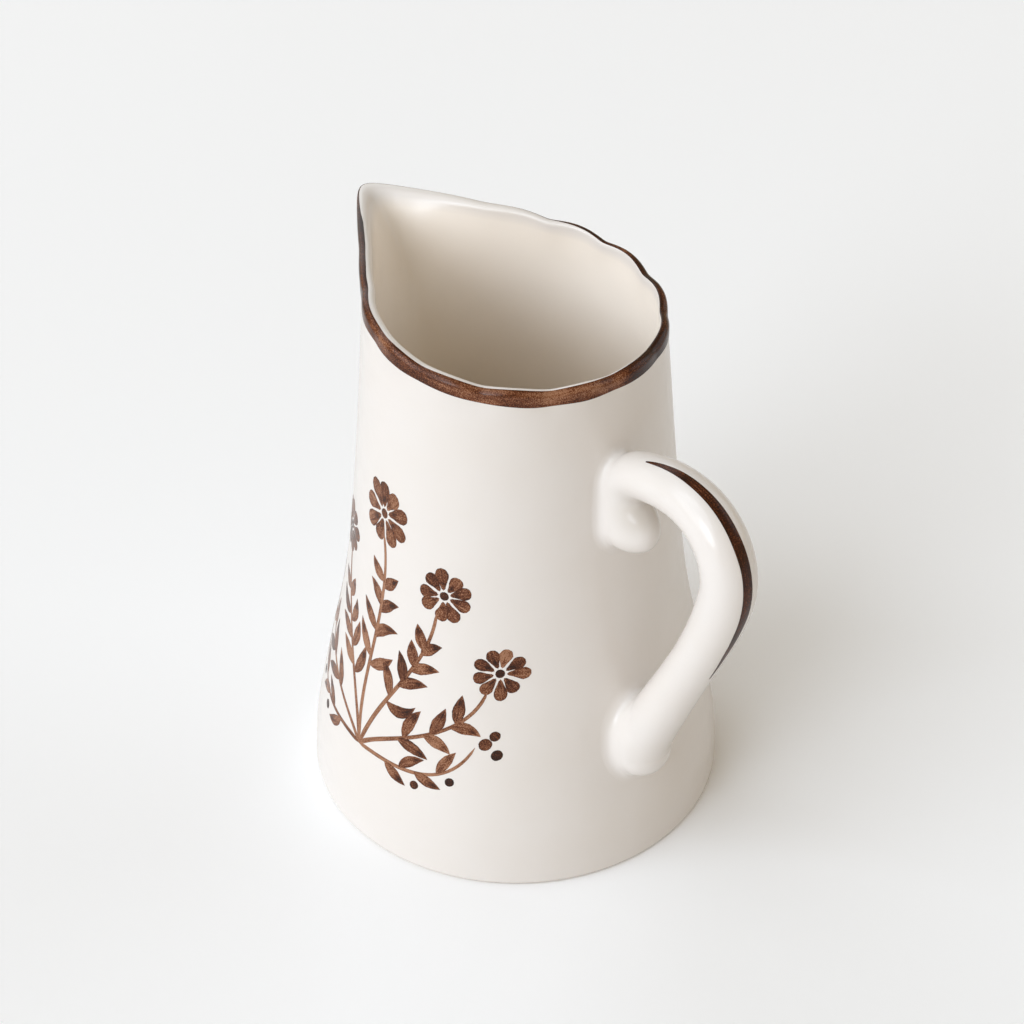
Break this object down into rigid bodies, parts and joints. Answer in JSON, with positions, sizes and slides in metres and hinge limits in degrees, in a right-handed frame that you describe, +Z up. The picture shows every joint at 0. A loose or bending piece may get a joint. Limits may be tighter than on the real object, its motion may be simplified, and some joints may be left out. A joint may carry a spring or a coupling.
{
  "type": "pitcher",
  "caption": "Glazed ceramic pitcher with a flared conical body, scalloped rim drawn into a pouring lip, scrolled rod handle and brown rim band.",
  "frame": {"origin": "centre of the base on the table, on the axis of the turned body", "axes": "+Z up, +X from the axis towards the handle, -X towards the pouring lip"},
  "size_m": [0.1899, 0.1446, 0.1903],
  "materials": {
    "cream_glaze": "glossy warm white glaze over a pale clay body",
    "brown_colour": "brushed brown ceramic colour, streaky, under a clear glaze"
  },
  "bodies": {
    "root": {"jug_body": "cream_glaze", "handle": "cream_glaze", "upper_slip_bead": "cream_glaze", "lower_slip_bead": "cream_glaze", "rim_band": "brown_colour", "handle_stroke": "brown_colour"}
  },
  "joints": []
}
